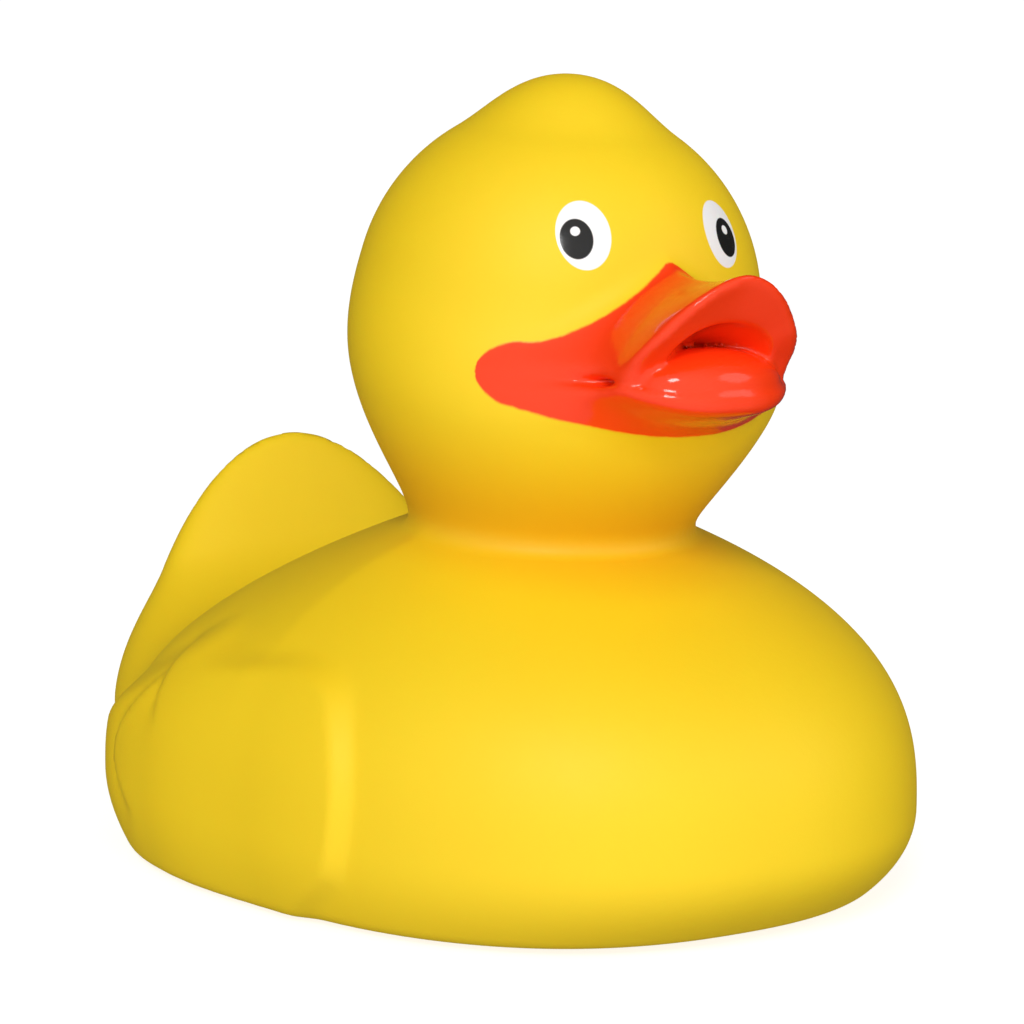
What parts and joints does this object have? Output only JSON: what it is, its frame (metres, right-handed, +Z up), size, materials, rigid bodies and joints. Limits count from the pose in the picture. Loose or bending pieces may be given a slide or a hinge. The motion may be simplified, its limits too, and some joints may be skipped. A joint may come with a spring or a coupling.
{
  "type": "rubber duck",
  "caption": "Hollow soft vinyl bath duck with painted bill and eyes, moulded wings and upturned tail, and a squeaker pressed into its flat base.",
  "frame": {"origin": "on the ground, under the middle of the duck's bounding box", "axes": "+Z up, the duck looks along -Y, +X is its left side"},
  "size_m": [0.0776, 0.1026, 0.08],
  "materials": {
    "vinyl": "soft satin vinyl, the bill and the eyes in glossy paint",
    "squeaker": "smooth moulded plastic"
  },
  "bodies": {
    "root": {"duck_shell": "vinyl", "squeaker_plug": "squeaker", "squeaker_reed": "squeaker"}
  },
  "joints": []
}
